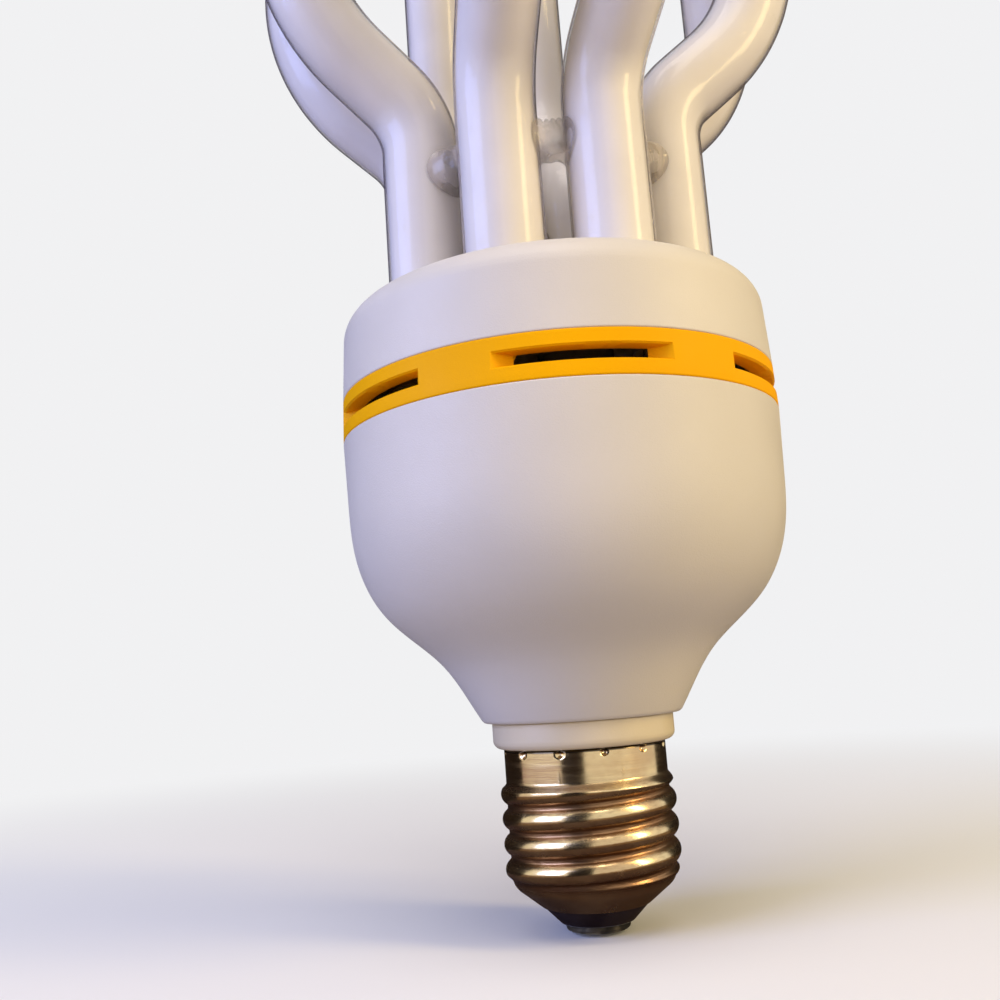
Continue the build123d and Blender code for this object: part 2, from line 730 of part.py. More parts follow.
def fuse_resistor():
    (place,) = on_board([FUSE_AT])
    return place * Rot(0, 0, FUSE_PHASE) * lying_part(FUSE_R, FUSE_LENGTH)


# Leads to the cap

def drop_spline(board_at, radius_in, low):
    """Smooth run from the board down to a straight drop at +Y of the axis."""
    (place,) = on_board([board_at])
    start = place.position + Vector(0, 0, BOARD_Z)
    finish = Vector(0, radius_in, low)
    down = Vector(0, 0, -1)
    return Edge.make_spline([start, finish], [down, down])


def contact_lead():
    """Lead from the board down the axis to the contact's solder."""
    top = Vector(0, 0, CAP_LEAD_STRAIGHT_Z)
    tip = Vector(0, 0, BUTTON_FOOT_Z - CONTACT_THICK)
    return wire_along(CAP_LEAD_R, drop_spline(CONTACT_LEAD_AT, 0, top.Z), Edge.make_line(top, tip))


def shell_lead():
    """Lead down the bush, round its foot and up the groove against the sleeve."""
    inside = BUSH_BORE_R - CAP_LEAD_R - SLIP
    loop_r = (SHELL_LEAD_R - inside) / 2
    loop_z = BUSH_FOOT_Z - SLIP
    top = Vector(0, inside, CAP_LEAD_STRAIGHT_Z)
    low = Vector(0, inside, loop_z)
    under = Vector(0, inside + loop_r, loop_z - loop_r)
    rise = Vector(0, SHELL_LEAD_R, loop_z)
    end = Vector(0, SHELL_LEAD_R, BUSH_FOOT_Z + SHELL_LEAD_CLIMB)
    return wire_along(
        CAP_LEAD_R,
        drop_spline(SHELL_LEAD_AT, inside, top.Z),
        Edge.make_line(top, low),
        Edge.make_three_point_arc(low, under, rise),
        Edge.make_line(rise, end),
    )


NODES = {
    "screw_shell": screw_shell,
    "glass_button": glass_button,
    "centre_contact": centre_contact,
    "contact_solder": contact_solder,
    "neck_bush": neck_bush,
    "lower_housing": lower_housing,
    "vent_ring": vent_ring,
    "tube_holder": tube_holder,
    "tube_cement": tube_cement,
    "petal_tube_front": lambda: petal_tube(0),
    "petal_tube_right": lambda: petal_tube(2 * LEG_STEP),
    "petal_tube_back": lambda: petal_tube(4 * LEG_STEP),
    "petal_tube_left": lambda: petal_tube(6 * LEG_STEP),
    "glass_bridges": glass_bridges,
    "leg_spacers": leg_spacers,
    "ballast_board": ballast_board,
    "wrap_pins": wrap_pins,
    "tube_leads": tube_leads,
    "choke_core": choke_core,
    "choke_bobbin": choke_bobbin,
    "choke_winding": choke_winding,
    "bulk_capacitor": bulk_capacitor,
    "driver_toroid": driver_toroid,
    "toroid_windings": toroid_windings,
    "power_transistors": power_transistors,
    "film_capacitors": film_capacitors,
    "filter_coil": filter_coil,
    "rectifier_diodes": rectifier_diodes,
    "fuse_resistor": fuse_resistor,
    "contact_lead": contact_lead,
    "shell_lead": shell_lead,
}

os.makedirs("parts", exist_ok=True)
for name, build in NODES.items():
    export_step(build(), f"parts/{name}.step")
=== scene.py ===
import json
from math import cos, pi, radians, sin

import bmesh
import bpy
import numpy as np
from mathutils import Matrix, Vector


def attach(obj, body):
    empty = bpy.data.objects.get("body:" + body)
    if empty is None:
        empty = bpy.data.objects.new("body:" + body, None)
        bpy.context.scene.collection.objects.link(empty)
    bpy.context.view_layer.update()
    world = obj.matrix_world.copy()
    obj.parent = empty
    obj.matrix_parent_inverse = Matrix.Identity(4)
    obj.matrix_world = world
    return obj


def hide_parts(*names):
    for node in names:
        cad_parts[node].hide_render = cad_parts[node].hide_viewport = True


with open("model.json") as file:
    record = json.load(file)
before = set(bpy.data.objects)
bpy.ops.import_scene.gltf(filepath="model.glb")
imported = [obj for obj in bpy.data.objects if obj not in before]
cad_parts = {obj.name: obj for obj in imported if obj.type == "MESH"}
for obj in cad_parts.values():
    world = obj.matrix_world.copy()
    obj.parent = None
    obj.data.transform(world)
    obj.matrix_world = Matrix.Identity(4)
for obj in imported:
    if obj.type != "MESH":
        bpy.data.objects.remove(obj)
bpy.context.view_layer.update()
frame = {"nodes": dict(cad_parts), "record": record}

# Looks of a tulip energy saving lamp: cap, bell housing, vent ring, cover and glass petals.
# Lengths of the lamp are in millimetres and become metres when a mesh is made; those of the
# studio are in metres.
MM = 0.001

# Cap
ROOT_R, CREST_R, PITCH, SHEET = 12.15, 13.05, 3.62, 0.3
RIDGE_HALF, RIDGE_SOFT, THREAD_LOW, THREAD_TOP, FADE = 1.5, 0.05, 7.7, 22.4, 1.2
LIP, TAPER_Z, TAPER_ROUND, RIM_Z = (8.2, 4.2), 7.36, 2.4, 27.0
SHELL_ROWS, SHELL_COLUMNS, CROWDING, ROLLED_IN, ROLLED_H = (170, 12, 10), 216, 0.05, 0.22, 0.35
DENTS, DENT_PHASE, DENT_R, DENT_DEEP, DENT_DROP = 12, 6.0, 0.65, 0.5, 0.6
DENT_TIP, DENT_POWER = 0.01, 0.8
BUTTON_FOOT, BUTTON_WAIST, BUTTON_SIDE = (5.4, 1.6), (7.5, 3.7), ((11.05, 6.9), 8.5)
BUTTON_TOP, BUTTON_WALL, BUTTON_CORE_R = 10.6, 2.6, 1.5
CONTACT_R, CONTACT_LOW, SOLDER_R, SOLDER_FLAT = 4.75, 0.5, 2.7, 1.5

# Housing
BUSH_BORE, SPIGOT_R, SPIGOT_Z, COLLAR_R, TOWER_R = 9.6, 11.75, 15.0, 13.7, 12.4
LEDGE_R, BUSH_GAP, SNAP_R, SNAP_TIP_R, SNAP_UP, BUSH_UP = 12.5, 0.02, 13.3, 11.5, 2.1, 4.6
FOOT_R, FOOT_Z, WAIST_R, WAIST_Z = 14.93, 30.94, 33.6, 64.0
FLARE = ((0.308, 0.274), (0.538, 0.395), (0.752, 0.516), (0.952, 0.758))
HOUSING_R, RIM_OF_BELL, WALL, FLOOR_THICK, EDGE = 33.95, 74.65, 1.8, 2.0, 0.25
RING_TOP_R, RING_TOP_Z, RING_WALL = 33.74, 81.05, 2.6
TONGUE_LOW_R, TONGUE_TOP_R, TONGUE_WALL, TONGUE_OUT, TONGUE_IN = 32.05, 31.65, 1.3, 2.4, 0.9
SLOTS, SLOT_PHASE, SLOT_ARC, SLOT_FLARE, SLOT_H, SLOT_Z = 6, 0.0, 33.0, 4.4, 1.95, 77.9
SLOT_EASE, SLOT_SPREAD = 0.25, 0.7
COVER_TOP, SHOULDER_R, COVER_ROUND = 95.0, 33.0, 4.6
SOCKET_DEEP, SOCKET_WALL, CEMENT, HOLE_GAP = 10.0, 0.8, 0.8, 0.25

# Discharge tube
PETALS = ("front", "right", "back", "left")
TUBE_R, GLASS, LEG_R, LEG_TURN, LEG_FOOT, FOOT_ROUND = 6.1, 0.4, 20.8, 22.5, 84.0, 2.0
BEND_Z, LOW_BEND, TOP_BEND, LEAN, LEAN_RUN = 119.4, 12.6, 28.5, 49.0, 7.2
LEAN_TURN, LEAN_SPLAY, TIP_Z = 13.0, 6.6, 198.0
LINE_STEPS, COAT_SHORT = 340, 4
BRIDGE_R, BRIDGE_Z, SPACER_R, SPACER_Z, OPEN_GAP = 3.5, 114.0, 3.2, 114.6, 225.0

# Camera; CAMERA_TURN carries it from the photo's side into the lamp's frame
CAMERA_BACK, CAMERA_UP, CAMERA_TURN = 160.70, 37.904, 7.0
CAMERA_YAW, CAMERA_PITCH, CAMERA_ROLL, CAMERA_LENS = -0.063, 0.168, -0.070, 37.178


# Shader maths

class Value:
    """A number on a socket; sums of values add their Math nodes."""

    def __init__(self, finish, socket):
        self.finish, self.socket = finish, socket

    def _math(self, operation, *terms):
        return self.finish.node("ShaderNodeMath", {"operation": operation}, dict(enumerate(terms)))

    def __add__(self, other):
        return self._math("ADD", self, other)

    def __sub__(self, other):
        return self._math("SUBTRACT", self, other)

    def __rsub__(self, other):
        return self._math("SUBTRACT", other, self)

    def __mul__(self, other):
        return self._math("MULTIPLY", self, other)

    def __pow__(self, other):
        return self._math("POWER", self, other)

    __radd__ = __add__
    __rmul__ = __mul__


class Finish:
    """Node tree of one material or world."""

    def __init__(self, name, group="materials", output="ShaderNodeOutputMaterial"):
        self.owner = getattr(bpy.data, group).new(name)
        self.owner.use_nodes = True
        self.tree = self.owner.node_tree
        self.tree.nodes.clear()
        self.output = self.tree.nodes.new(output)

    def node(self, kind, settings=None, inputs=None, out=0):
        """Adds a node, sets its settings and inputs, and gives back one output as a Value."""
        node = self.tree.nodes.new(kind)
        for key, setting in (settings or {}).items():
            setattr(node, key, setting)
        for key, given in (inputs or {}).items():
            if isinstance(given, Value):
                self.tree.links.new(given.socket, node.inputs[key])
            elif isinstance(given, tuple) and node.inputs[key].type == "RGBA":
                node.inputs[key].default_value = (*given, 1)
            else:
                node.inputs[key].default_value = given
        return Value(self, node.outputs[out])

    def place(self):
        """Position on the object, in metres."""
        return self.node("ShaderNodeTexCoord", out="Object")

    def stretched(self, scale):
        return self.node("ShaderNodeMapping", None, {"Vector": self.place(), "Scale": scale})

    def noise(self, scale, detail=3.0, stretch=None):
        vector = self.stretched(stretch) if stretch else self.place()
        inputs = {"Vector": vector, "Scale": scale, "Detail": detail}
        return self.node("ShaderNodeTexNoise", None, inputs)

    def span(self, value, low, high):
        """0 below low, 1 above high, and smooth between."""
        inputs = {"Value": value, "From Min": low, "From Max": high}
        return self.node("ShaderNodeMapRange", {"interpolation_type": "SMOOTHSTEP"}, inputs)

    def mix(self, share, first, second):
        """Colour between two colours."""
        settings = {"data_type": "RGBA"}
        return self.node("ShaderNodeMix", settings, {0: share, 6: first, 7: second}, out=2)

    def bump(self, height, distance):
        return self.node("ShaderNodeBump", None, {"Height": height, "Distance": distance})

    def axis(self, name):
        return self.node("ShaderNodeSeparateXYZ", None, {0: self.place()}, out=name)

    def principled(self, **inputs):
        """Principled shader; the sockets are given by name with underscores for spaces."""
        named = {key.replace("_", " "): given for key, given in inputs.items()}
        return self.node("ShaderNodeBsdfPrincipled", None, named)

    def shown(self):
        """1 where the camera looks, directly or by a mirror or glass, and 0 for diffuse light."""
        rays = [
            self.node("ShaderNodeLightPath", out=f"Is {kind} Ray")
            for kind in ("Camera", "Glossy", "Transmission")
        ]
        return rays[0] + rays[1] + rays[2]

    def done(self, shader):
        self.tree.links.new(shader.socket, self.output.inputs["Surface"])
        return self.owner


def moulded(name, colour, roughness, grain, grain_height, shine=0.4):
    """Moulded plastic: fine even grain, faint broad shading and slightly uneven gloss."""
    f = Finish(name)
    broad = f.noise(28.0, 2.0)
    fine = f.noise(grain, 2.0)
    darker = tuple(c * 0.93 for c in colour)
    tint = f.mix(f.span(broad, 0.35, 0.65), darker, colour)
    gloss = f.span(f.noise(160.0, 3.0), 0.3, 0.7) * 0.08 + roughness
    normal = f.bump(fine, grain_height)
    shader = f.principled(
        Base_Color=tint, Roughness=gloss, Specular_IOR_Level=shine, Normal=normal
    )
    return f.done(shader)


def cap_metal():
    """Plated sheet: drawn streaks round the cap, small scratches and painted brown shade in the
    thread's hollows.

    The painted shade lies where the distance from the axis is near the root of the thread.
    """
    f = Finish("cap_metal")
    streak = f.noise(90.0, 4.0, stretch=(1, 1, 14))
    scratch = f.span(f.noise(420.0, 2.0, stretch=(1, 1, 0.2)), 0.62, 0.74)
    stain = f.span(f.noise(130.0, 3.0), 0.42, 0.62)
    x, y, z = f.axis("X"), f.axis("Y"), f.axis("Z")
    crust = f.noise(900.0, 4.0, stretch=(1, 1, 3))
    low = (ROOT_R + 0.6) * MM
    hollow = 1 - f.span((x * x + y * y) ** 0.5 + crust * 0.0009, low, low + 0.0008)
    threaded = 1 - f.span(z, (THREAD_TOP - 1.2) * MM, (THREAD_TOP + 0.6) * MM)
    # Darker, browner and rougher metal in the thread's hollows: painted shade.
    painted_hollow_shade = hollow * threaded * f.span(z, (TAPER_Z - 0.6) * MM, (TAPER_Z + 0.9) * MM)
    # Near-black band just under the collar: painted shade where the collar overhangs the rim.
    painted_collar_shade = f.span(z + streak * 0.0002, (RIM_Z - 0.4) * MM, (RIM_Z - 0.25) * MM)
    colour = f.mix(stain * 0.5, (0.84, 0.64, 0.34), (0.50, 0.29, 0.14))
    colour = f.mix(painted_hollow_shade * 0.85, colour, (0.24, 0.11, 0.05))
    colour = f.mix(painted_collar_shade * 0.9, colour, (0.02, 0.014, 0.01))
    gloss = f.span(streak, 0.3, 0.75) * 0.10 + scratch * 0.12 + painted_hollow_shade * 0.14 + 0.14
    normal = f.bump(streak + scratch * 0.6 + crust * painted_hollow_shade * 2.0, 0.00002)
    return f.done(f.principled(Base_Color=colour, Metallic=1.0, Roughness=gloss, Normal=normal))


def dull_metal(name, bright, dark, roughness):
    """Dull metal with darker blotches."""
    f = Finish(name)
    blotch = f.span(f.noise(380.0, 4.0), 0.4, 0.62)
    colour = f.mix(blotch, bright, dark)
    gloss = blotch * 0.2 + roughness
    normal = f.bump(f.noise(900.0, 3.0), 0.00005)
    return f.done(f.principled(Base_Color=colour, Metallic=0.9, Roughness=gloss, Normal=normal))


def black_glass():
    """Poured black glass: smooth, with a few shallow ripples."""
    f = Finish("black_glass")
    normal = f.bump(f.noise(140.0, 2.0), 0.0002)
    gloss = f.span(f.noise(300.0, 2.0), 0.4, 0.7) * 0.1 + 0.06
    colour = f.mix(f.span(f.noise(200.0), 0.4, 0.6), (0.010, 0.006, 0.008), (0.02, 0.014, 0.016))
    return f.done(f.principled(Base_Color=colour, Roughness=gloss, IOR=1.55, Normal=normal))


def tube_wall():
    """Clear wall over the white coat: see-through in front, painted dark shade where seen edge-on,
    glossy.

    Its gloss is 2 percent head-on and rises with the fifth power of the tilt, the same from
    both sides, so that the light that the coat throws back isn't shut in.
    """
    f = Finish("tube_glass")
    seed = f.span(f.noise(520.0, 1.0), 0.70, 0.76)
    draw = f.noise(45.0, 2.0, stretch=(1, 1, 0.3))
    normal = f.bump(draw + seed * 0.25, 0.0006)
    facing = f.node("ShaderNodeLayerWeight", None, {"Blend": 0.5}, out=1)
    # Toward the silhouette the wall turns dark grey: painted shade along the tube's edges.
    edge = f.span(facing, 0.52, 0.84) * 0.72
    clear = f.node("ShaderNodeBsdfTransparent")
    painted_edge_shade = f.principled(Base_Color=(0.26, 0.23, 0.24), Roughness=0.3, Specular_IOR_Level=0.1)
    wall = f.node("ShaderNodeMixShader", None, {0: edge, 1: clear, 2: painted_edge_shade})
    gloss = f.principled(Base_Color=(1, 1, 1), Metallic=1.0, Roughness=0.15, Normal=normal)
    sheen = facing**5 * 0.98 + 0.02
    return f.done(f.node("ShaderNodeMixShader", None, {0: sheen, 1: wall, 2: gloss}))


def milky_glass():
    """Blown joint glass: cloudy, part see-through, with streaks from the flame."""
    f = Finish("clear_glass")
    streak = f.span(f.noise(260.0, 3.0, stretch=(1, 1, 0.3)), 0.38, 0.62)
    colour = f.mix(streak, (0.30, 0.25, 0.20), (0.60, 0.52, 0.43))
    normal = f.bump(f.noise(300.0, 2.0), 0.0006)
    body = f.principled(Base_Color=colour, Roughness=0.14, Normal=normal)
    clear = f.node("ShaderNodeBsdfTransparent")
    return f.done(f.node("ShaderNodeMixShader", None, {0: 0.24 + streak * 0.24, 1: clear, 2: body}))


def lamp_coat():
    """White powder inside the glass: soft clouds and a few darker specks."""
    f = Finish("lamp_coat")
    cloud = f.span(f.noise(70.0, 3.0), 0.35, 0.7)
    speck = f.span(f.noise(900.0, 2.0), 0.66, 0.8)
    colour = f.mix(cloud, (0.69, 0.64, 0.58), (0.74, 0.69, 0.63))
    colour = f.mix(speck * 0.2, colour, (0.60, 0.55, 0.50))
    normal = f.bump(f.noise(1500.0, 2.0), 0.00002)
    return f.done(f.principled(Base_Color=colour, Roughness=0.6, Normal=normal))


def plain_part(name, colour, roughness, scale, metallic=0.0, depth=0.85):
    """Inner part: one colour that varies a little, with a light bump."""
    f = Finish(name)
    share = f.span(f.noise(scale, 3.0), 0.35, 0.65)
    tint = f.mix(share, tuple(c * depth for c in colour), colour)
    gloss = share * 0.1 + roughness
    normal = f.bump(f.noise(scale * 4, 2.0), 0.00006)
    return f.done(f.principled(Base_Color=tint, Metallic=metallic, Roughness=gloss, Normal=normal))


def wound_wire():
    """Wound copper wire: fine rounded ribs that run round the coil, with painted shade in the
    grooves between turns.
    """
    f = Finish("copper_wire")
    settings = {"wave_type": "BANDS", "bands_direction": "Z", "wave_profile": "SIN"}
    inputs = {"Vector": f.place(), "Scale": 420.0, "Distortion": 0.4, "Detail": 1.0}
    ribs_and_groove_shade = f.node("ShaderNodeTexWave", settings, inputs, out=1)
    # Dark colour in the grooves between the ribs: painted shade.
    colour = f.mix(ribs_and_groove_shade, (0.20, 0.06, 0.02), (0.72, 0.30, 0.12))
    normal = f.bump(ribs_and_groove_shade, 0.0002)
    return f.done(f.principled(Base_Color=colour, Metallic=0.8, Roughness=0.35, Normal=normal))


MATERIALS = {
    "cap_metal": cap_metal(),
    # The contact's near-black colour is painted shade on the cap's underside.
    "contact_metal": dull_metal("contact_metal", (0.17, 0.145, 0.10), (0.04, 0.035, 0.03), 0.42),
    "solder_metal": dull_metal("solder_metal", (0.60, 0.58, 0.55), (0.28, 0.26, 0.24), 0.28),
    "black_glass": black_glass(),
    "neck_plastic": moulded("neck_plastic", (0.69, 0.59, 0.40), 0.30, 2400.0, 0.000012, 0.5),
    "housing_plastic": moulded("housing_plastic", (0.65, 0.60, 0.51), 0.45, 5200.0, 0.00003),
    "ring_plastic": moulded("ring_plastic", (0.88, 0.41, 0.0), 0.48, 4200.0, 0.00003, 0.06),
    "cement": plain_part("cement", (0.78, 0.76, 0.70), 0.8, 600.0),
    "tube_glass": tube_wall(),
    "clear_glass": milky_glass(),
    "lamp_coat": lamp_coat(),
    "board_laminate": plain_part("board_laminate", (0.42, 0.30, 0.14), 0.5, 300.0),
    "ferrite": plain_part("ferrite", (0.07, 0.07, 0.075), 0.45, 500.0),
    "bobbin_plastic": plain_part("bobbin_plastic", (0.05, 0.05, 0.05), 0.4, 400.0),
    "copper_wire": wound_wire(),
    "can_sleeve": plain_part("can_sleeve", (0.03, 0.04, 0.10), 0.3, 200.0),
    "black_moulding": plain_part("black_moulding", (0.02, 0.02, 0.02), 0.5, 700.0),
    "dipped_resin": plain_part("dipped_resin", (0.45, 0.08, 0.03), 0.25, 300.0),
    "resistor_lacquer": plain_part("resistor_lacquer", (0.33, 0.42, 0.45), 0.3, 300.0),
    "lead_sleeve": plain_part("lead_sleeve", (0.75, 0.73, 0.68), 0.45, 300.0),
}


# Meshes

def grid_faces(rows, columns, wrap_rows, wrap_columns):
    """Corner numbers of the quads between neighbouring rows and columns of a grid."""
    r = np.arange(rows if wrap_rows else rows - 1)[:, None]
    c = np.arange(columns if wrap_columns else columns - 1)[None, :]
    r_next, c_next = (r + 1) % rows, (c + 1) % columns
    row, next_row = r * columns, r_next * columns
    corners = row + c, row + c_next, next_row + c_next, next_row + c
    return np.stack(np.broadcast_arrays(*corners), -1).reshape(-1, 4)


def sheet_mesh(name, sheets):
    """Closed mesh of point grids, normals outward; each sheet is (grid, wrap_rows, wrap_columns)."""
    points, faces, count = [], [], 0
    for grid, wrap_rows, wrap_columns in sheets:
        quads = grid_faces(grid.shape[0], grid.shape[1], wrap_rows, wrap_columns)
        flat = grid.reshape(-1, 3)
        if enclosed(flat, quads) < 0:
            quads = quads[:, ::-1]
        points.append(flat * MM)
        faces.append(quads + count)
        count += len(flat)
    mesh = bpy.data.meshes.new(name)
    mesh.from_pydata(np.concatenate(points), [], np.concatenate(faces).tolist())
    closed(mesh)
    return mesh


def added(name, data):
    """New object in the scene, at the origin."""
    obj = bpy.data.objects.new(name, data)
    bpy.context.collection.objects.link(obj)
    return obj


def piece(name, sheets, slot, stands_for=(), material=None, sharp=40.0):
    """One visible object, with its finish and shading, tied to the frame."""
    obj = added(name, sheet_mesh(name, sheets))
    obj.data.materials.append(MATERIALS[material or slot])
    obj.data.set_sharp_from_angle(angle=radians(sharp))
    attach(obj, "root")
    if stands_for:
        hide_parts(*stands_for)
    return obj


def enclosed(points, quads):
    """Signed volume of the quads taken as two triangles each."""
    a, b, c, d = (points[quads[:, i]] for i in range(4))
    return (np.cross(b - a, c - a) * a).sum() + (np.cross(c - a, d - a) * a).sum()


def closed(mesh):
    """Merges the doubled points of seams and poles."""
    work = bmesh.new()
    work.from_mesh(mesh)
    bmesh.ops.remove_doubles(work, verts=work.verts, dist=1e-7)
    bmesh.ops.dissolve_degenerate(work, edges=work.edges, dist=1e-7)
    for face in work.faces:
        face.smooth = True
    work.to_mesh(mesh)
    work.free()


def cut(obj, meshes):
    """Takes the meshes' space out of a piece, shades it anew and leaves no modifier behind."""
    for mesh in meshes:
        cutter = added("cutter", mesh)
        modifier = obj.modifiers.new("cut", "BOOLEAN")
        modifier.object, modifier.operation, modifier.solver = cutter, "DIFFERENCE", "EXACT"
        bpy.context.view_layer.update()
        graph = bpy.context.evaluated_depsgraph_get()
        result = bpy.data.meshes.new_from_object(obj.evaluated_get(graph))
        obj.modifiers.clear()
        obj.data = result
        bpy.data.objects.remove(cutter)
    obj.data.polygons.foreach_set("use_smooth", np.ones(len(obj.data.polygons), bool))
    obj.data.set_sharp_from_angle(angle=radians(35.0))


def plugged(grid):
    """The grid with each end drawn together to a point."""
    ends = [np.tile(row.mean(0), (1, grid.shape[1], 1)) for row in (grid[0], grid[-1])]
    return np.concatenate([ends[0], grid, ends[1]])


def turned(outline, steps=256):
    """Surface of revolution: each (r, z) of the outline goes round Z as (r cos t, r sin t, z)."""
    t = np.linspace(0, 2 * pi, steps, endpoint=False)
    r, z = outline[:, :1], outline[:, 1:]
    return np.stack([r * np.cos(t), r * np.sin(t), z + 0 * t], -1), False, True


def rounded(*corners, steps=8):
    """Outline through (r, z, radius) corners; each corner is an arc that touches both sides."""
    places = [np.array(c[:2], float) for c in corners]
    radii = [c[2] if len(c) > 2 else 0 for c in corners]
    line = []
    for i, (place, radius) in enumerate(zip(places, radii)):
        if not radius:
            line.append(place)
            continue
        before = places[i - 1] - place
        after = places[(i + 1) % len(places)] - place
        before, after = before / np.hypot(*before), after / np.hypot(*after)
        half = np.arccos(np.clip(before @ after, -1, 1)) / 2
        middle = (before + after) / np.hypot(*(before + after))
        centre = place + middle * radius / sin(half)
        first = place + before * radius / np.tan(half) - centre
        last = place + after * radius / np.tan(half) - centre
        share = np.linspace(0, 1, steps)[:, None]
        arc = first * (1 - share) + last * share
        line.extend(centre + radius * arc / np.hypot(arc[:, 0], arc[:, 1])[:, None])
    return np.array(line)


def divided(outline, length):
    """The outline with long runs divided, so that no step is longer than length."""
    steps = np.hypot(*np.diff(outline, axis=0).T)
    along = np.concatenate([[0], np.cumsum(steps)])
    extra = np.arange(0, along[-1], length)
    at = np.union1d(along, extra)
    return np.stack([np.interp(at, along, outline[:, i]) for i in (0, 1)], -1)


def smooth_curve(points, first, last, steps):
    """Cubic spline through (r, z) points with given end slopes; its second slope has no jumps."""
    p = np.array(points, float)
    h = np.hypot(*np.diff(p, axis=0).T)
    n = len(p)
    system = np.zeros((n, n))
    right = np.zeros((n, 2))
    system[0, 0] = system[-1, -1] = 1
    right[0] = np.array(first) / np.hypot(*first)
    right[-1] = np.array(last) / np.hypot(*last)
    rise = np.diff(p, axis=0) / h[:, None]
    for i in range(1, n - 1):
        system[i, i - 1 : i + 2] = h[i], 2 * (h[i] + h[i - 1]), h[i - 1]
        right[i] = 3 * (h[i] * rise[i - 1] + h[i - 1] * rise[i])
    slope = np.linalg.solve(system, right)
    along = np.concatenate([[0], np.cumsum(h)])
    at = np.linspace(0, along[-1], steps)
    k = np.clip(np.searchsorted(along, at, side="right") - 1, 0, n - 2)
    u = ((at - along[k]) / h[k])[:, None]
    hk = h[k][:, None]
    return (
        (2 * u**3 - 3 * u**2 + 1) * p[k]
        + (u**3 - 2 * u**2 + u) * hk * slope[k]
        + (3 * u**2 - 2 * u**3) * p[k + 1]
        + (u**3 - u**2) * hk * slope[k + 1]
    )


def azimuth(degrees):
    """Unit vector at an azimuth counted from -Y toward +X."""
    return np.array([sin(radians(degrees)), -cos(radians(degrees)), 0.0])


def leg_azimuths():
    """Azimuths of the eight legs, two to a petal."""
    return [90.0 * i + side * LEG_TURN for i in range(4) for side in (-1, 1)]


# Cap

def ridge(theta, z):
    """Height of the round ridge above the root.

    At x along the axis from the ridge's middle line, which climbs one pitch a turn, an arc of
    radius q stands sqrt(q2 - x2) - (q - rise) proud. A soft maximum rounds it into the root,
    and ramps at both ends fade it out.
    """
    rise = CREST_R - ROOT_R + SHEET / 2
    q = (RIDGE_HALF**2 + rise**2) / (2 * rise)
    x = (z - THREAD_LOW - PITCH * theta / (2 * pi) + PITCH / 2) % PITCH - PITCH / 2
    arc = np.sqrt(np.maximum(q**2 - x**2, 0)) - (q - rise) - SHEET / 2
    high = 0.5 * (arc + np.sqrt(arc**2 + RIDGE_SOFT))
    low_fade = np.clip((z - THREAD_LOW) / FADE, 0, 1)
    top_fade = np.clip((THREAD_TOP - z) / FADE, 0, 1)
    return high * low_fade * top_fade


def dimples(theta, z):
    """Depth of the punched dents, evenly spaced along the rim.

    At d from its middle a dent is DEEP (1 - sqrt(d2 + TIP) / R) to the POWER deep.
    """
    step = 2 * pi / DENTS
    turn = theta + pi / 2 - radians(DENT_PHASE)
    across = ((turn + step / 2) % step - step / 2) * ROOT_R
    up = z - (RIM_Z - DENT_DROP)
    away = np.sqrt(across**2 + up**2 + DENT_TIP)
    return DENT_DEEP * np.clip(1 - away / DENT_R, 0, 1) ** DENT_POWER


def shell_line():
    """Outer line of the sleeve from rim to lip, with its unit normals."""
    run, drop = ROOT_R - LIP[0], TAPER_Z - LIP[1]
    end = np.arctan2(run, drop)
    reach = TAPER_ROUND * np.tan(end / 2)
    straight, bend, cone = SHELL_ROWS
    bent = np.linspace(0, end, bend)[1:]
    angle = np.concatenate([np.zeros(straight), bent, np.full(cone, end)])
    bend_r = ROOT_R - TAPER_ROUND + TAPER_ROUND * np.cos(angle)
    bend_z = TAPER_Z + reach - TAPER_ROUND * np.sin(angle)
    bend_z[:straight] = np.linspace(RIM_Z, TAPER_Z + reach, straight)
    share = np.linspace(0, 1, cone + 1)[1:]
    bend_r[-cone:] += (LIP[0] - bend_r[-cone:]) * share
    bend_z[-cone:] += (LIP[1] - bend_z[-cone:]) * share
    return bend_r, bend_z, np.cos(angle), -np.sin(angle)


def screw_shell():
    """Sleeve whose outer and inner faces both follow ridge and dents, with its rim rolled in.

    Its upright lines crowd together where the dents are: t = u - k sin(n (u - dent)).
    """
    r, z, nr, nz = (line[:, None] for line in shell_line())
    u = np.linspace(0, 2 * pi, SHELL_COLUMNS, endpoint=False)[None, :]
    t = u - CROWDING * np.sin(DENTS * (u + pi / 2 - radians(DENT_PHASE)))
    rolled = ROLLED_IN * np.clip((z - RIM_Z + ROLLED_H) / ROLLED_H, 0, 1) ** 2
    lift = ridge(t, z) - dimples(t, z) - rolled
    outer_r, outer_z = r + lift, z + 0 * t
    inner_r, inner_z = r + lift - SHEET * nr, z - SHEET * nz + 0 * t
    rr = np.concatenate([outer_r, inner_r[::-1]])
    zz = np.concatenate([outer_z, inner_z[::-1]])
    grid = np.stack([rr * np.cos(t), rr * np.sin(t), zz], -1)
    piece("screw_shell_skin", [(grid, True, True)], "cap_metal", ["screw_shell"], sharp=60)


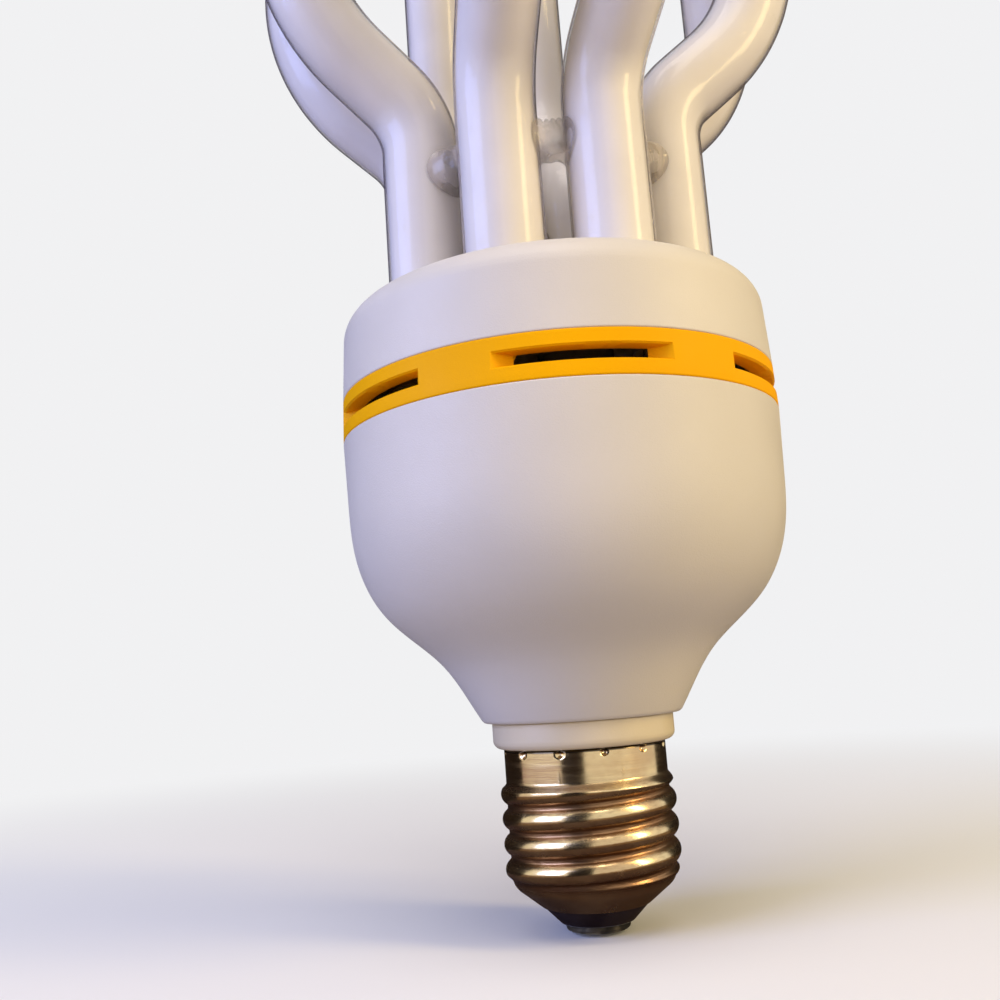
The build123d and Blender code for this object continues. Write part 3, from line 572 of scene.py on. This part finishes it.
def cap_foot():
    """Glass button, contact disc and the drop of solder."""
    inner_r = ROOT_R - SHEET - 0.02
    foot = BUTTON_FOOT[1]
    button = rounded(
        (0, foot), (*BUTTON_FOOT, 0.6), (*BUTTON_WAIST, 1.5), (LIP[0] - 0.2, LIP[1] + 0.25),
        BUTTON_SIDE[0], (inner_r, BUTTON_SIDE[1]), (inner_r, BUTTON_TOP),
        (inner_r - BUTTON_WALL, BUTTON_TOP, 0.3), (inner_r - BUTTON_WALL, TAPER_Z),
        (BUTTON_CORE_R, foot + BUTTON_WALL), (0, foot + BUTTON_WALL),
    )
    piece("glass_button_skin", [turned(divided(button, 0.5))], "black_glass", ["glass_button"])
    disc = rounded(
        (0, CONTACT_LOW), (CONTACT_R, CONTACT_LOW, 0.5), (CONTACT_R, foot + 0.05, 0.2),
        (0, foot + 0.05),
    )
    piece("contact_disc", [turned(divided(disc, 0.3), 128)], "contact_metal", ["centre_contact"])
    piece("solder_drop", [solder_drop()], "solder_metal", ["contact_solder"])


def solder_drop():
    """Uneven drop: level inside its flat, then z rises with the square of the way out."""
    share = np.linspace(0, 1, 28)[:, None]
    t = np.linspace(0, 2 * pi, 96, endpoint=False)
    uneven = 1 + 0.05 * np.sin(3 * t + 1) + 0.03 * np.sin(7 * t)
    r = SOLDER_R * share * (1 - 0.08 + 0.08 * uneven * share)
    rise = np.maximum(r * uneven - SOLDER_FLAT, 0) / (SOLDER_R - SOLDER_FLAT)
    z = CONTACT_LOW * np.minimum(rise**2, 1.0)
    z[-1] = CONTACT_LOW
    grid = np.stack([r * np.cos(t), r * np.sin(t), z], -1)
    lid = np.stack([0 * t, 0 * t, CONTACT_LOW + 0 * t], -1)[None]
    return np.concatenate([grid, lid]), False, True


# Housing

def neck_bush():
    """Collar with a rounded lower edge, spigot below and snap ring above."""
    line = rounded(
        (BUSH_BORE, SPIGOT_Z), (SPIGOT_R, SPIGOT_Z, 0.3), (SPIGOT_R, RIM_Z),
        (LEDGE_R, RIM_Z + BUSH_GAP), (COLLAR_R, RIM_Z + BUSH_GAP, 1.2),
        (COLLAR_R, FOOT_Z - BUSH_GAP, 0.3), (TOWER_R, FOOT_Z - BUSH_GAP),
        (TOWER_R, FOOT_Z + SNAP_UP), (SNAP_R, FOOT_Z + SNAP_UP),
        (SNAP_TIP_R, FOOT_Z + BUSH_UP), (BUSH_BORE, FOOT_Z + BUSH_UP),
    )
    line = np.vstack([line, line[:1]])
    piece("neck_collar", [turned(divided(line, 0.6))], "neck_plastic", ["neck_bush"])


def bell_line(inset):
    """Outline of the bell from foot to rim, moved in square to itself."""
    middle = [(FOOT_R + a * (WAIST_R - FOOT_R), FOOT_Z + b * (WAIST_Z - FOOT_Z)) for a, b in FLARE]
    points = np.array([(FOOT_R, FOOT_Z), *middle, (WAIST_R, WAIST_Z)])
    rim = np.array([HOUSING_R, RIM_OF_BELL])
    curve = smooth_curve(points, points[1] - points[0], rim - points[-1], 90)
    line = np.vstack([curve, rim])
    slope = np.gradient(line, axis=0)
    slope /= np.hypot(slope[:, 0], slope[:, 1])[:, None]
    return line + inset * np.stack([-slope[:, 1], slope[:, 0]], -1)


def lower_housing():
    """Bell with softened edges at its foot and rim, floor round the bush and open inside."""
    outer = bell_line(0)
    inner = bell_line(WALL)
    inner = inner[inner[:, 1] > FOOT_Z + FLOOR_THICK]
    inner[-1, 1] = RIM_OF_BELL
    hole = TOWER_R + 0.1
    round_by = EDGE * 0.3
    foot = [(hole, FOOT_Z), (FOOT_R - EDGE, FOOT_Z), (FOOT_R - round_by, FOOT_Z + round_by)]
    soft = outer[:-1][outer[:-1, 1] > FOOT_Z + EDGE]
    top = [
        (HOUSING_R, RIM_OF_BELL - EDGE),
        (HOUSING_R - round_by, RIM_OF_BELL - round_by),
        (HOUSING_R - EDGE, RIM_OF_BELL),
    ]
    back = [(hole, FOOT_Z + FLOOR_THICK), (hole, FOOT_Z)]
    line = np.vstack([foot, soft, top, inner[::-1], back])
    piece("bell", [turned(divided(line, 1.0), 240)], "housing_plastic", ["lower_housing"], sharp=50)


def slot_cutter(middle):
    """Closed block through the ring's wall: its ends flare outward, and its mouth is eased.

    Each stage is (radius, half arc, extra half height), and one oblong joins to the next.
    """
    half = SLOT_ARC / 2
    behind, inner = HOUSING_R * 0.85, HOUSING_R - RING_WALL
    eased, beyond = RING_TOP_R - SLOT_EASE, HOUSING_R + 1.0
    stages = (
        (behind, half, 0),
        (inner, half, 0),
        (eased, half + SLOT_FLARE * (eased - inner) / RING_WALL, 0),
        (beyond, half + SLOT_FLARE * (beyond - inner) / RING_WALL, SLOT_SPREAD * (beyond - eased)),
    )
    steps = 40
    share = np.linspace(-1, 1, steps)
    rings = []
    for radius, wide, taller in stages:
        t = radians(middle) - pi / 2 + share * radians(wide)
        tall = SLOT_H / 2 + taller
        up = np.concatenate([np.full(steps, tall), np.full(steps, -tall)])
        t = np.concatenate([t, t[::-1]])
        rings.append(np.stack([radius * np.cos(t), radius * np.sin(t), SLOT_Z + up], -1))
    centre = azimuth(middle)
    inside = np.tile(centre * behind + (0, 0, SLOT_Z), (2 * steps, 1))
    outside = np.tile(centre * beyond + (0, 0, SLOT_Z), (2 * steps, 1))
    return sheet_mesh("slot", [(np.stack([inside, *rings, outside]), False, True)])


def vent_ring():
    """Ring with softened edges, six bevelled slots, and a tongue into bell and cover each."""
    edge = 0.22
    line = rounded(
        (HOUSING_R - RING_WALL, RIM_OF_BELL), (HOUSING_R, RIM_OF_BELL, edge),
        (RING_TOP_R, RING_TOP_Z, edge), (RING_TOP_R - RING_WALL, RING_TOP_Z), steps=5,
    )
    line = np.vstack([line, line[:1]])
    tongues = []
    for r, a, b in (
        (TONGUE_LOW_R, RIM_OF_BELL - TONGUE_OUT, RIM_OF_BELL + TONGUE_IN),
        (TONGUE_TOP_R, RING_TOP_Z - TONGUE_IN, RING_TOP_Z + TONGUE_OUT),
    ):
        inner = r - TONGUE_WALL
        tongues.append(np.array([(inner, a), (r, a), (r, b), (inner, b), (inner, a)]))
    ring = piece("slotted_ring", [turned(divided(line, 1.2), 240)], "ring_plastic", ["vent_ring"])
    step = 360 / SLOTS
    cut(ring, [slot_cutter(SLOT_PHASE + i * step) for i in range(SLOTS)])
    piece("ring_tongues", [turned(t, 160) for t in tongues], "ring_plastic")


def leg_ring(radius, low, high):
    """Upright open cylinder round each leg."""
    t = np.linspace(0, 2 * pi, 96, endpoint=False)
    z = np.array([low, high])[:, None]
    round_z = np.stack([radius * np.cos(t) + 0 * z, radius * np.sin(t) + 0 * z, z + 0 * t], -1)
    return [round_z + azimuth(a) * LEG_R for a in leg_azimuths()]


def tube_holder():
    """Cover with a round shoulder and eight holes, each over a deep socket."""
    top, inner_top = COVER_TOP, COVER_TOP - WALL
    line = rounded(
        (0, inner_top), (SHOULDER_R - WALL, inner_top, COVER_ROUND - WALL),
        (RING_TOP_R - WALL, RING_TOP_Z), (RING_TOP_R, RING_TOP_Z, EDGE),
        (SHOULDER_R, top, COVER_ROUND), (0, top), steps=14,
    )
    cover = piece("top_cover", [turned(divided(line, 1.0), 320)], "housing_plastic", ["tube_holder"])
    rods = leg_ring(TUBE_R + HOLE_GAP, inner_top - 1, top + 1)
    cut(cover, [sheet_mesh("hole", [(plugged(rod), False, True)]) for rod in rods])
    foot = COVER_TOP - SOCKET_DEEP
    bores = leg_ring(TUBE_R + CEMENT, foot, inner_top)
    walls = leg_ring(TUBE_R + CEMENT + SOCKET_WALL, foot, inner_top)
    sockets = [np.concatenate([wall, bore[::-1]]) for bore, wall in zip(bores, walls)]
    piece("leg_sockets", [(socket, True, True) for socket in sockets], "housing_plastic")


# Discharge tube

def leg_line(petal, side):
    """Points up one leg: straight, an arc outward, a lean, and an arc back to upright."""
    foot = azimuth(petal + side * LEG_TURN) * LEG_R
    lean = azimuth(petal + LEAN_TURN + side * LEAN_SPLAY)
    up = np.array([0, 0, 1.0])
    tilt = radians(LEAN)
    low = np.array([LEG_FOOT, BEND_Z])[:, None] * up + foot
    a = np.linspace(0, tilt, 22)[1:, None]
    out = low[-1] + lean * LOW_BEND * (1 - np.cos(a)) + up * LOW_BEND * np.sin(a)
    back = out[-1] + (lean * sin(tilt) + up * cos(tilt)) * LEAN_RUN
    top = back + lean * TOP_BEND * (1 - cos(tilt)) + up * TOP_BEND * sin(tilt)
    b = np.linspace(tilt, 0, 30)[1:, None]
    over = top - lean * TOP_BEND * (1 - np.cos(b)) - up * TOP_BEND * np.sin(b)
    return np.vstack([low, out, back, over])


def petal_line(petal):
    """Centre line of a petal, evenly stepped: one leg, a half circle at the tip, the other leg."""
    rising, falling = leg_line(petal, -1), leg_line(petal, 1)
    first, second = rising[-1], falling[-1]
    across = (second - first) / 2
    tip_r = np.hypot(*across[:2])
    centre = (first + second) / 2 * (1, 1, 0) + (0, 0, TIP_Z - TUBE_R - tip_r)
    a = np.linspace(0, pi, 48)[:, None]
    tip = centre - across * np.cos(a) + np.array([0, 0, tip_r]) * np.sin(a)
    line = np.vstack([rising, tip, falling[::-1]])
    steps = np.linalg.norm(np.diff(line, axis=0), axis=1)
    along = np.concatenate([[0], np.cumsum(steps)])
    at = np.linspace(0, along[-1], LINE_STEPS)
    return np.stack([np.interp(at, along, line[:, i]) for i in range(3)], -1)


def tube(line, radius, petal, steps):
    """Round tube along a line: p + r (n cos t + b sin t), with n level and square to the line."""
    tangent = np.gradient(line, axis=0)
    tangent /= np.linalg.norm(tangent, axis=1)[:, None]
    level = azimuth(petal + LEAN_TURN)
    n = level - tangent * (tangent @ level)[:, None]
    n /= np.linalg.norm(n, axis=1)[:, None]
    b = np.cross(tangent, n)
    t = np.linspace(0, 2 * pi, steps, endpoint=False)
    ring = n[:, None] * np.cos(t)[:, None] + b[:, None] * np.sin(t)[:, None]
    return line[:, None] + ring * radius


def capped(grid, round_r):
    """A tube's grid with a rounded flat end at each side."""
    ends = []
    for ring, beyond in ((grid[0], grid[1]), (grid[-1], grid[-2])):
        centre = ring.mean(0)
        out = (centre - beyond.mean(0)) / np.linalg.norm(centre - beyond.mean(0))
        radius = np.linalg.norm(ring[0] - centre)
        spoke = (ring - centre) / radius
        rows = []
        for a in np.linspace(0, pi / 2, 7):
            inward, back = round_r * (1 - cos(a)), round_r * (1 - sin(a))
            rows.append(centre + spoke * (radius - inward) - out * back)
        rows.append(np.tile(centre, (len(ring), 1)))
        ends.append(np.stack(rows))
    return np.concatenate([ends[0][::-1], grid[2:-2], ends[1]])


def petals():
    """Four petals: a clear wall, and just inside it the white coat, a few steps shorter."""
    for i, name in enumerate(PETALS):
        line = petal_line(90.0 * i)
        inner_line = line[COAT_SHORT:-COAT_SHORT]
        wall = capped(tube(line, TUBE_R, 90.0 * i, 72), FOOT_ROUND)
        coat = capped(tube(inner_line, TUBE_R - GLASS, 90.0 * i, 64), FOOT_ROUND / 2)
        piece(f"petal_glass_{name}", [(wall, False, True)], "tube_glass", [f"petal_tube_{name}"])
        piece(f"petal_coat_{name}", [(coat, False, True)], "tube_glass", material="lamp_coat")


def link(middle, radius, height, waist, ragged):
    """Glass rod between two legs: its ends lie on the legs' round sides, its middle is slimmer.

    Waves round it and along it make it lumpy, and a ragged one has teeth along its upper edge.
    """
    t = np.linspace(0, 2 * pi, 72, endpoint=False)[None, :]
    share = np.linspace(-1, 1, 49)[:, None]
    torn = ragged * np.maximum(np.sin(t), 0) ** 4 * np.abs(np.sin(6.6 * share + 0.7))
    lumps = 0.02 * np.sin(3 * t + 4 * share + middle) + 0.015 * np.sin(7 * share - 2 * t)
    foot = 2.2 * waist * share**6
    r = radius * (1 - waist + foot + (torn + lumps) * (1 - share**4))
    half = LEG_R * sin(radians(LEG_TURN))
    seat = half - np.sqrt(TUBE_R**2 - (r * np.cos(t)) ** 2)
    x, y, z = share * seat, r * np.cos(t), height + r * np.sin(t)
    turn = radians(middle)
    depth = y - LEG_R * cos(radians(LEG_TURN))
    grid = np.stack([x * cos(turn) - depth * sin(turn), x * sin(turn) + depth * cos(turn), z], -1)
    return plugged(grid), False, True


def links():
    """Bridges between petals and clear beads between the legs of each petal."""
    joined = [OPEN_GAP + 90 * i for i in (1, 2, 3)]
    sheets = [link(a, BRIDGE_R, BRIDGE_Z, 0.07, 0.03) for a in joined]
    piece("bridge_glass", sheets, "clear_glass", ["glass_bridges"], sharp=60)
    beads = [link(90.0 * i, SPACER_R, SPACER_Z, 0.10, 0.22) for i in range(4)]
    piece("spacer_glass", beads, "clear_glass", ["leg_spacers"], sharp=60)


# Inner parts keep their own shapes

def dress_inner_parts():
    """Gives each node the material that its slot names."""
    slots = {part["node"]: part["material_slot"] for part in frame["record"]["subparts"]}
    for name, obj in frame["nodes"].items():
        for place in obj.material_slots:
            place.material = MATERIALS[slots[name]]


# Studio

BACKDROP = (0.88, 0.88, 0.89)


def staged(name, material, r, z, turn=0.0, arc=360.0, steps=97):
    """Thing of the studio: points (r, z) swept round Z as (r sin a, -r cos a, z)."""
    a = np.radians(turn + arc * np.linspace(-0.5, 0.5, steps))[None, :]
    r, z = np.array(r)[:, None], np.array(z)[:, None]
    grid = np.stack([r * np.sin(a), -r * np.cos(a), z + 0 * a], -1)
    mesh = bpy.data.meshes.new(name)
    mesh.from_pydata(grid.reshape(-1, 3), [], grid_faces(len(r), steps, False, False).tolist())
    mesh.materials.append(material)
    obj = added(name, mesh)
    return obj


def studio_floor():
    """Pale floor that fades into the backdrop's colour away from the lamp."""
    f = Finish("floor")
    x, y = f.axis("X"), f.axis("Y")
    far = f.span((x * x + y * y) ** 0.5, 0.03, 0.40)
    near = f.node("ShaderNodeBsdfDiffuse", None, {"Color": (0.80, 0.80, 0.79)})
    glow = f.node("ShaderNodeEmission", None, {"Color": BACKDROP, "Strength": 1.0})
    mixed = f.node("ShaderNodeMixShader", None, {0: far * f.shown(), 1: near, 2: glow})
    staged("studio_floor", f.done(mixed), (6.0, 1.0, 0.3, 0.0), (0, 0, 0, 0))


def studio_world():
    """Even pale world; what camera, mirrors and glass see of it is the backdrop's colour."""
    f = Finish("studio", "worlds", "ShaderNodeOutputWorld")
    ambient = f.node("ShaderNodeBackground", None, {"Color": (0.52, 0.49, 0.47), "Strength": 0.6})
    shown = f.node("ShaderNodeBackground", None, {"Color": BACKDROP, "Strength": 1.0})
    mixed = f.node("ShaderNodeMixShader", None, {0: f.shown(), 1: ambient, 2: shown})
    bpy.context.scene.world = f.done(mixed)


def softbox(name, turn, height, distance, size, watts, colour, mirrored=True):
    """Oblong lamp at an azimuth round the object, aimed at the housing."""
    light = bpy.data.lights.new(name, "AREA")
    light.shape, light.size, light.size_y = "RECTANGLE", size[0], size[1]
    light.energy, light.color = watts, colour
    obj = added(name, light)
    obj.visible_glossy = mirrored
    place = Vector(azimuth(turn)) * distance + Vector((0, 0, height))
    obj.location = place
    obj.rotation_euler = (Vector((0, 0, 0.08)) - place).to_track_quat("-Z", "Y").to_euler()


def card(name, colour, r, z, turn=0.0, arc=360.0, seen_by="visible_glossy"):
    """Dark card that only gloss, or only bounced light, meets; from below it is see-through."""
    f = Finish(name)
    dark = f.node("ShaderNodeBsdfDiffuse", None, {"Color": colour})
    clear = f.node("ShaderNodeBsdfTransparent")
    below = f.node("ShaderNodeNewGeometry", out="Backfacing")
    mixed = f.node("ShaderNodeMixShader", None, {0: below, 1: dark, 2: clear})
    obj = staged(name, f.done(mixed), r, z, turn, arc, 33)
    kinds = ("camera", "diffuse", "glossy", "shadow", "transmission", "volume_scatter")
    for kind in (f"visible_{kind}" for kind in kinds):
        setattr(obj, kind, kind == seen_by)


def studio():
    studio_floor()
    studio_world()
    softbox("left_light", -66, 0.32, 0.75, (0.5, 0.5), 6.0, (0.38, 0.47, 1.0))
    softbox("right_light", 60, 0.40, 0.75, (0.17, 0.6), 4.3, (1.0, 0.78, 0.38))
    softbox("top_light", -10, 0.95, 0.35, (0.6, 0.5), 3.9, (1.0, 0.93, 0.86))
    softbox("front_fill", 14, 0.14, 0.85, (0.5, 0.3), 1.7, (1.0, 0.85, 0.62), mirrored=False)
    for i, (turn, arc) in enumerate(((-146, 80), (-25, 32), (148, 84))):
        card(f"flag_{i}", (0.025, 0.020, 0.017), (0.3, 0.3, 0.05), (0.6, 0.0005, 0.0005), turn, arc)
    card("flag_left", (0.45, 0.36, 0.36), (0.3, 0.05), (0.0004, 0.0004), -71, 78)
    card("flag_near", (0.20, 0.14, 0.09), (0.15, 0.05), (0.00045, 0.00045))
    card("flag_below", (0.09, 0.065, 0.06), (0.05, 0.0052), (0.0004, 0.0004))
    cloth = (0.42, 0.39, 0.41)
    card("dark_cloth", cloth, (0.7, 0.0052), (0.0003, 0.0003), seen_by="visible_diffuse")


def camera():
    """Camera at the photo's place, looking a little up at the lamp."""
    data = bpy.data.cameras.new("camera")
    data.lens, data.sensor_width, data.sensor_fit = CAMERA_LENS, 36.0, "HORIZONTAL"
    data.clip_start, data.clip_end = 0.01, 20.0
    turn = radians(CAMERA_TURN)
    place = Vector((-sin(turn), -cos(turn), 0)) * CAMERA_BACK + Vector((0, 0, CAMERA_UP))
    yaw = CAMERA_YAW + turn
    ahead = Vector((sin(yaw) * cos(CAMERA_PITCH), cos(yaw) * cos(CAMERA_PITCH), sin(CAMERA_PITCH)))
    level = Vector((cos(yaw), -sin(yaw), 0))
    lift = level.cross(ahead)
    right = level * cos(CAMERA_ROLL) + lift * sin(CAMERA_ROLL)
    above = lift * cos(CAMERA_ROLL) - level * sin(CAMERA_ROLL)
    turned_to = Matrix((right, above, -ahead)).transposed()
    obj = added("camera", data)
    obj.matrix_world = Matrix.Translation(place * MM) @ turned_to.to_4x4()
    bpy.context.scene.camera = obj


screw_shell()
cap_foot()
neck_bush()
lower_housing()
vent_ring()
tube_holder()
petals()
links()
dress_inner_parts()
studio()
camera()
bpy.context.scene.view_settings.view_transform = "Standard"
